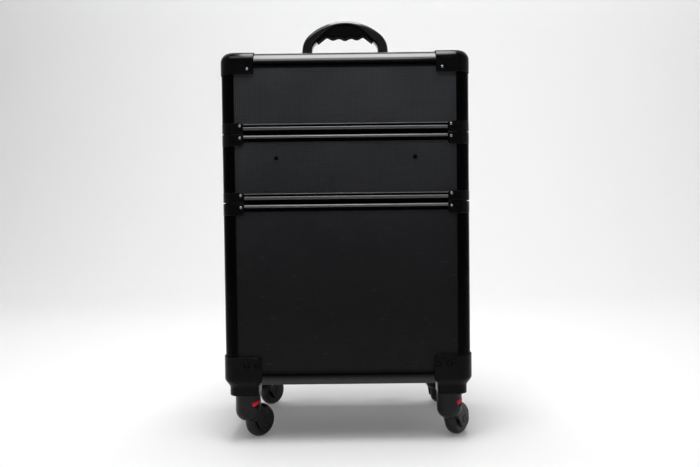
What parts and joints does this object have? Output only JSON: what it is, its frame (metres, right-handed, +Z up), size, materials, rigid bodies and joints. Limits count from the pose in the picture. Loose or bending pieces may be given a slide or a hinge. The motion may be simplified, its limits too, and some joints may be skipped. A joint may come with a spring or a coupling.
{
  "type": "rolling equipment case",
  "caption": "Three-tier aluminium-framed rolling case with lift-off tiers, lift-out tray, carry handle, telescopic handle and plug-in swivel casters.",
  "frame": {"origin": "on the floor, under the middle of the whole object's box", "axes": "+Z up, -Y towards the pictured face, +X to the right seen from there"},
  "size_m": [0.388, 0.262, 0.6401],
  "materials": {
    "textured_panel": "fine diamond-dot textured laminate, dark grey",
    "floor_board": "black lined board",
    "gloss_casting": "gloss black die casting",
    "bright_steel": "bright plated steel",
    "chromed_tube": "bright drawn tube",
    "latch_metal": "black painted pressing",
    "red_button": "red moulded plastic",
    "wheel_tread": "black polyurethane",
    "matte_plastic": "black moulded plastic with a fine grain",
    "soft_grip": "black soft-touch insert",
    "gloss_handle": "gloss black plastic",
    "tray_plastic": "black moulded tray",
    "black_aluminium": "satin black anodised extrusion"
  },
  "bodies": {
    "lower_tier": {"lower_wall_panels": "textured_panel", "lower_floor": "floor_board", "lower_posts": "black_aluminium", "lower_base_rails": "black_aluminium", "lower_rim": "black_aluminium", "lower_rim_castings": "gloss_casting", "caster_housings": "matte_plastic", "lower_fasteners": "bright_steel", "lower_latch_plates": "latch_metal", "trolley_outer_tubes": "black_aluminium", "trolley_brackets": "matte_plastic"},
    "middle_tier": {"middle_wall_panels": "textured_panel", "middle_floor": "floor_board", "middle_posts": "black_aluminium", "middle_bottom_rim": "black_aluminium", "middle_top_rim": "black_aluminium", "middle_rim_castings": "gloss_casting", "middle_fasteners": "bright_steel", "tray_ledges": "black_aluminium", "middle_latch_plates": "latch_metal", "middle_keepers": "latch_metal"},
    "lift_out_tray": {"tray": "tray_plastic"},
    "top_tier": {"top_wall_panels": "textured_panel", "lid_panel": "textured_panel", "top_posts": "black_aluminium", "top_edge_rails": "black_aluminium", "top_rim": "black_aluminium", "top_rim_castings": "gloss_casting", "top_corner_caps": "gloss_casting", "top_fasteners": "bright_steel", "handle_brackets": "black_aluminium", "top_keepers": "latch_metal"},
    "carry_handle": {"handle_arch": "gloss_handle", "handle_grip": "soft_grip"},
    "trolley_middle": {"trolley_mid_tubes": "chromed_tube"},
    "trolley_inner": {"trolley_inner_tubes": "chromed_tube", "trolley_grip": "matte_plastic"},
    "trolley_release": {"trolley_button": "matte_plastic"},
    "latch_lower_left": {"latch_lower_left": "latch_metal"},
    "latch_lower_right": {"latch_lower_right": "latch_metal"},
    "latch_upper_left": {"latch_upper_left": "latch_metal"},
    "latch_upper_right": {"latch_upper_right": "latch_metal"},
    "caster_pin_front_left": {"pin_front_left": "bright_steel"},
    "caster_fork_front_left": {"fork_front_left": "matte_plastic"},
    "caster_wheel_front_left": {"wheel_front_left": "wheel_tread"},
    "caster_button_front_left": {"button_front_left": "red_button"},
    "caster_pin_front_right": {"pin_front_right": "bright_steel"},
    "caster_fork_front_right": {"fork_front_right": "matte_plastic"},
    "caster_wheel_front_right": {"wheel_front_right": "wheel_tread"},
    "caster_button_front_right": {"button_front_right": "red_button"},
    "caster_pin_rear_left": {"pin_rear_left": "bright_steel"},
    "caster_fork_rear_left": {"fork_rear_left": "matte_plastic"},
    "caster_wheel_rear_left": {"wheel_rear_left": "wheel_tread"},
    "caster_button_rear_left": {"button_rear_left": "red_button"},
    "caster_pin_rear_right": {"pin_rear_right": "bright_steel"},
    "caster_fork_rear_right": {"fork_rear_right": "matte_plastic"},
    "caster_wheel_rear_right": {"wheel_rear_right": "wheel_tread"},
    "caster_button_rear_right": {"button_rear_right": "red_button"}
  },
  "joints": [
    {"name": "middle_tier_lift", "type": "slide", "parent": "lower_tier", "child": "middle_tier", "axis": [0, 0, 1], "range_m": [0, 0.15]},
    {"name": "top_tier_lift", "type": "slide", "parent": "middle_tier", "child": "top_tier", "axis": [0, 0, 1], "range_m": [0, 0.15]},
    {"name": "tray_lift", "type": "slide", "parent": "middle_tier", "child": "lift_out_tray", "axis": [0, 0, 1], "range_m": [0, 0.08]},
    {"name": "carry_handle_pivot", "type": "hinge", "parent": "top_tier", "child": "carry_handle", "pos_m": [0, -0.009, 0.5821], "axis": [1, 0, 0], "range_deg": [-85, 85]},
    {"name": "trolley_first_stage", "type": "slide", "parent": "lower_tier", "child": "trolley_middle", "axis": [0, 0, 1], "range_m": [0, 0.26]},
    {"name": "trolley_second_stage", "type": "slide", "parent": "trolley_middle", "child": "trolley_inner", "axis": [0, 0, 1], "range_m": [0, 0.26]},
    {"name": "trolley_release_press", "type": "slide", "parent": "trolley_inner", "child": "trolley_release", "axis": [0, 0, -1], "range_m": [0, 0.003], "stiffness_N_per_m": 900},
    {"name": "latch_lower_left_turn", "type": "hinge", "parent": "lower_tier", "child": "latch_lower_left", "pos_m": [-0.182, -0.009, 0.339], "axis": [1, 0, 0], "range_deg": [0, 90]},
    {"name": "latch_lower_right_turn", "type": "hinge", "parent": "lower_tier", "child": "latch_lower_right", "pos_m": [0.182, -0.009, 0.339], "axis": [1, 0, 0], "range_deg": [0, 90]},
    {"name": "latch_upper_left_turn", "type": "hinge", "parent": "middle_tier", "child": "latch_upper_left", "pos_m": [-0.182, -0.009, 0.439], "axis": [1, 0, 0], "range_deg": [0, 90]},
    {"name": "latch_upper_right_turn", "type": "hinge", "parent": "middle_tier", "child": "latch_upper_right", "pos_m": [0.182, -0.009, 0.439], "axis": [1, 0, 0], "range_deg": [0, 90]},
    {"name": "pin_front_left_pull_out", "type": "slide", "parent": "lower_tier", "child": "caster_pin_front_left", "axis": [0, 0, 1], "range_m": [-0.02, 0]},
    {"name": "fork_front_left_swivel", "type": "hinge", "parent": "caster_pin_front_left", "child": "caster_fork_front_left", "pos_m": [-0.15, -0.099, 0.06], "axis": [0, 0, 1], "continuous": true},
    {"name": "wheel_front_left_roll", "type": "hinge", "parent": "caster_fork_front_left", "child": "caster_wheel_front_left", "pos_m": [-0.13528, -0.08265, 0.0245], "axis": [-0.7431, 0.6691, 0], "continuous": true},
    {"name": "button_front_left_press", "type": "slide", "parent": "caster_fork_front_left", "child": "caster_button_front_left", "axis": [-0.7431, 0.6691, 0], "range_m": [0, 0.0025], "stiffness_N_per_m": 900},
    {"name": "pin_front_right_pull_out", "type": "slide", "parent": "lower_tier", "child": "caster_pin_front_right", "axis": [0, 0, 1], "range_m": [-0.02, 0]},
    {"name": "fork_front_right_swivel", "type": "hinge", "parent": "caster_pin_front_right", "child": "caster_fork_front_right", "pos_m": [0.15, -0.099, 0.06], "axis": [0, 0, 1], "continuous": true},
    {"name": "wheel_front_right_roll", "type": "hinge", "parent": "caster_fork_front_right", "child": "caster_wheel_front_right", "pos_m": [0.16354, -0.08166, 0.0245], "axis": [-0.788, 0.6157, 0], "continuous": true},
    {"name": "button_front_right_press", "type": "slide", "parent": "caster_fork_front_right", "child": "caster_button_front_right", "axis": [-0.788, 0.6157, 0], "range_m": [0, 0.0025], "stiffness_N_per_m": 900},
    {"name": "pin_rear_left_pull_out", "type": "slide", "parent": "lower_tier", "child": "caster_pin_rear_left", "axis": [0, 0, 1], "range_m": [-0.02, 0]},
    {"name": "fork_rear_left_swivel", "type": "hinge", "parent": "caster_pin_rear_left", "child": "caster_fork_rear_left", "pos_m": [-0.15, 0.081, 0.06], "axis": [0, 0, 1], "continuous": true},
    {"name": "wheel_rear_left_roll", "type": "hinge", "parent": "caster_fork_rear_left", "child": "caster_wheel_rear_left", "pos_m": [-0.13738, 0.09902, 0.0245], "axis": [-0.8192, 0.5736, 0], "continuous": true},
    {"name": "button_rear_left_press", "type": "slide", "parent": "caster_fork_rear_left", "child": "caster_button_rear_left", "axis": [-0.8192, 0.5736, 0], "range_m": [0, 0.0025], "stiffness_N_per_m": 900},
    {"name": "pin_rear_right_pull_out", "type": "slide", "parent": "lower_tier", "child": "caster_pin_rear_right", "axis": [0, 0, 1], "range_m": [-0.02, 0]},
    {"name": "fork_rear_right_swivel", "type": "hinge", "parent": "caster_pin_rear_right", "child": "caster_fork_rear_right", "pos_m": [0.15, 0.081, 0.06], "axis": [0, 0, 1], "continuous": true},
    {"name": "wheel_rear_right_roll", "type": "hinge", "parent": "caster_fork_rear_right", "child": "caster_wheel_rear_right", "pos_m": [0.1568, 0.10192, 0.0245], "axis": [-0.9511, 0.309, 0], "continuous": true},
    {"name": "button_rear_right_press", "type": "slide", "parent": "caster_fork_rear_right", "child": "caster_button_rear_right", "axis": [-0.9511, 0.309, 0], "range_m": [0, 0.0025], "stiffness_N_per_m": 900}
  ]
}
